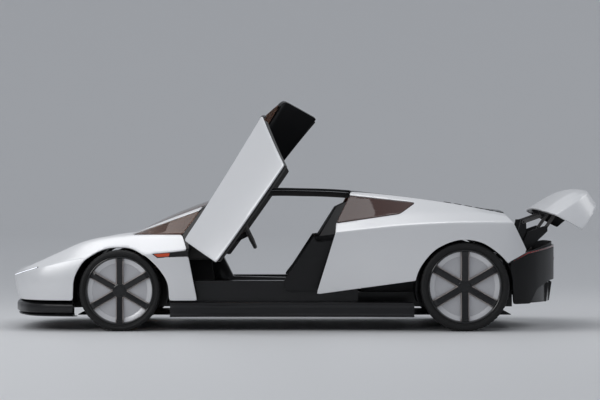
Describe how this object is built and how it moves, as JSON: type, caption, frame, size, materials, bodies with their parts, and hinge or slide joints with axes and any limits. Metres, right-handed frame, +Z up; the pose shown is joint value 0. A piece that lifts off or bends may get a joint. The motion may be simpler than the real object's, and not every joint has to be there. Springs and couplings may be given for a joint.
{
  "type": "supercar",
  "caption": "Low mid-engined two-seat supercar with raised dihedral doors, a raised linked tail lid, steered front wheels and freely turning wheels.",
  "frame": {"origin": "on the road under the middle of the car's box, tail lid raised", "axes": "+X to the rear, +Y to the car's right side, +Z up"},
  "size_m": [4.8728, 2.7502, 1.8706],
  "materials": {
    "body_white": "satin",
    "body_black": "gloss",
    "tinted_glass": "gloss",
    "lamp_black": "gloss",
    "lamp_red": "gloss",
    "carbon": "satin",
    "cast": "matte",
    "steel": "satin",
    "alu": "satin",
    "wheel_black": "gloss",
    "tyre": "matte",
    "trim": "matte",
    "plastic": "matte",
    "caliper": "satin"
  },
  "bodies": {
    "body": {"chassis_tub": "carbon", "front_clamshell": "body_white", "windscreen": "tinted_glass", "headlamps": "lamp_black", "marker_lamps": "lamp_black", "roof_frame": "body_black", "front_quarter_glass": "tinted_glass", "rear_quarters": "body_white", "rear_quarter_glass": "tinted_glass", "rear_deck": "body_black", "splitter": "body_black", "sills": "body_black", "rear_bumper": "body_black", "tail_light": "lamp_red", "undertray": "plastic", "engine_block": "cast", "exhaust": "steel", "seats": "trim", "dashboard": "trim", "steering_wheel": "trim", "front_suspension": "alu", "rear_suspension": "alu", "front_liners": "plastic", "rear_liners": "plastic", "rear_calipers": "caliper"},
    "knuckle_left": {"knuckle_left": "alu", "caliper_front_left": "caliper"},
    "wheel_front_left": {"tyre_front_left": "tyre", "rim_front_left": "alu", "star_front_left": "wheel_black"},
    "wheel_rear_left": {"tyre_rear_left": "tyre", "rim_rear_left": "alu", "star_rear_left": "wheel_black"},
    "door_left": {"door_panel_left": "body_white", "door_frame_left": "body_black", "door_glass_left": "tinted_glass"},
    "knuckle_right": {"knuckle_right": "alu", "caliper_front_right": "caliper"},
    "wheel_front_right": {"tyre_front_right": "tyre", "rim_front_right": "alu", "star_front_right": "wheel_black"},
    "wheel_rear_right": {"tyre_rear_right": "tyre", "rim_rear_right": "alu", "star_rear_right": "wheel_black"},
    "door_right": {"door_panel_right": "body_white", "door_frame_right": "body_black", "door_glass_right": "tinted_glass"},
    "tail_lid": {"tail_lid": "body_white"},
    "lid_arms": {"lid_arms": "steel"},
    "lid_links": {"lid_links": "steel"}
  },
  "joints": [
    {"name": "steer_left", "type": "hinge", "parent": "body", "child": "knuckle_left", "pos_m": [-1.5005, -0.76, 0.326], "axis": [0, 0, 1], "range_deg": [-28, 28]},
    {"name": "spin_front_left", "type": "hinge", "parent": "knuckle_left", "child": "wheel_front_left", "pos_m": [-1.5005, -0.838, 0.326], "axis": [0, 1, 0], "continuous": true},
    {"name": "spin_rear_left", "type": "hinge", "parent": "body", "child": "wheel_rear_left", "pos_m": [1.2725, -0.822, 0.359], "axis": [0, 1, 0], "continuous": true},
    {"name": "steer_right", "type": "hinge", "parent": "body", "child": "knuckle_right", "pos_m": [-1.5005, 0.76, 0.326], "axis": [0, 0, 1], "range_deg": [-28, 28]},
    {"name": "spin_front_right", "type": "hinge", "parent": "knuckle_right", "child": "wheel_front_right", "pos_m": [-1.5005, 0.838, 0.326], "axis": [0, 1, 0], "continuous": true},
    {"name": "spin_rear_right", "type": "hinge", "parent": "body", "child": "wheel_rear_right", "pos_m": [1.2725, 0.822, 0.359], "axis": [0, 1, 0], "continuous": true},
    {"name": "door_left", "type": "hinge", "parent": "body", "child": "door_left", "pos_m": [-0.6655, -0.48, 0.958], "axis": [0.5694, 0.6897, 0.4473], "range_deg": [0, 65.96]},
    {"name": "door_right", "type": "hinge", "parent": "body", "child": "door_right", "pos_m": [-0.6655, 0.48, 0.958], "axis": [-0.5694, 0.6897, -0.4473], "range_deg": [0, 65.96]},
    {"name": "lid_arm", "type": "hinge", "parent": "body", "child": "lid_arms", "pos_m": [1.81763, 0, 0.87062], "axis": [0, -1, 0], "range_deg": [0, 157.4]},
    {"name": "lid_tilt", "type": "hinge", "parent": "lid_arms", "child": "tail_lid", "pos_m": [1.97738, 0, 0.92694], "axis": [0, -1, 0], "range_deg": [-192.41, 0]},
    {"name": "lid_link", "type": "hinge", "parent": "body", "child": "lid_links", "pos_m": [1.99075, 0, 0.81511], "axis": [0, -1, 0], "range_deg": [0, 115.49]}
  ],
  "couplings": [
    {"joint": "steer_right", "follows": "steer_left", "ratio": 1},
    {"joint": "lid_tilt", "follows": "lid_arm", "ratio": -1.2224},
    {"joint": "lid_link", "follows": "lid_arm", "ratio": 0.73367}
  ]
}
